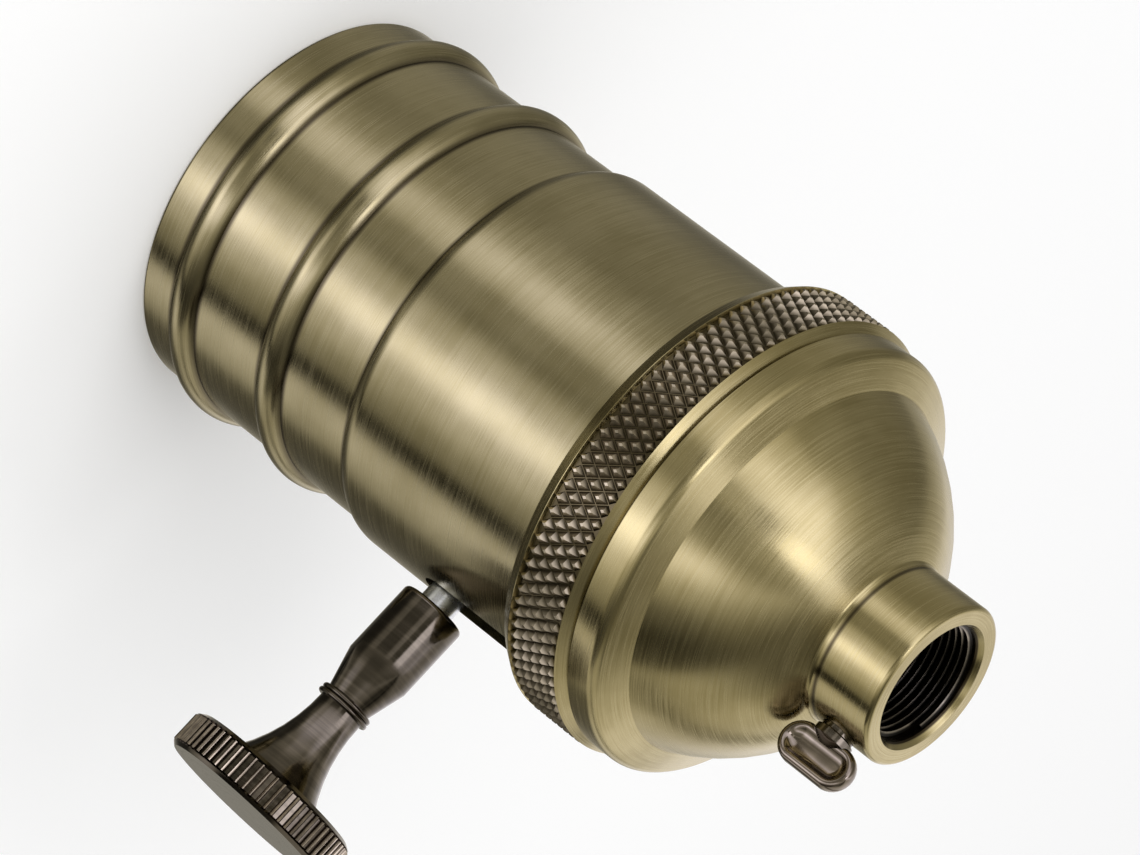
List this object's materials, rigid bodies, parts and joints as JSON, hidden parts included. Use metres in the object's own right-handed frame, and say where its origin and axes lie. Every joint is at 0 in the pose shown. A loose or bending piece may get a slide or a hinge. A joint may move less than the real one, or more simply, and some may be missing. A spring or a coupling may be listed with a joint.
{
  "type": "lamp holder",
  "caption": "Screw-base lamp holder in brass: beaded slotted shell, knurled domed cap with a threaded neck and hand screw, and a rotary switch worked by a side knob.",
  "frame": {"origin": "on the shell's axis, in the plane of the mouth rim", "axes": "+Z along the shell's axis from the mouth to the neck; +X along the knob's shaft, out of the side; +Y completes the right-handed set"},
  "size_m": [0.0623, 0.041, 0.0734],
  "materials": {
    "antique_brass": "circumferentially brushed antique brass, lacquered",
    "antique_brass_cap": "brushed antique brass, lacquered, with a dark knurled band",
    "dark_plating": "dark gunmetal plating, polished",
    "zinc_plated_steel": "bright zinc plating",
    "spring_steel": "blued, satin",
    "bronze": "plain sintered bronze",
    "contact_brass": "plain stamped brass",
    "nickel_plated_brass": "nickel plated, satin",
    "porcelain": "glazed white porcelain, opaque",
    "black_bakelite": "moulded, semi-gloss",
    "brown_bakelite": "moulded, semi-gloss",
    "vulcanised_fibre": "matt black vulcanised fibre"
  },
  "bodies": {
    "holder": {"shell": "antique_brass", "cap": "antique_brass_cap", "shaft_bush": "bronze", "lamp_cup": "porcelain", "screw_shell": "nickel_plated_brass", "centre_contact": "contact_brass", "centre_rivet": "contact_brass", "shell_rivets": "contact_brass", "switch_housing": "black_bakelite", "line_blade": "contact_brass", "load_blade": "contact_brass", "neutral_strap": "contact_brass", "live_terminal": "contact_brass", "neutral_terminal": "nickel_plated_brass", "terminal_screws": "zinc_plated_steel", "housing_screws": "zinc_plated_steel", "detent_spring": "spring_steel", "insulating_liner": "vulcanised_fibre"},
    "spindle": {"knob": "dark_plating", "knob_shaft": "zinc_plated_steel", "switch_rotor": "brown_bakelite", "rotor_contact": "contact_brass", "shaft_clip": "spring_steel"},
    "clamp_screw": {"neck_screw": "dark_plating"}
  },
  "joints": [
    {"name": "knob_turn", "type": "hinge", "parent": "holder", "child": "spindle", "pos_m": [0, 0, 0.0358], "axis": [1, 0, 0], "continuous": true},
    {"name": "neck_screw_turn", "type": "hinge", "parent": "holder", "child": "clamp_screw", "pos_m": [0, 0, 0.0698], "axis": [1, 0, 0], "range_deg": [0, 360]}
  ]
}
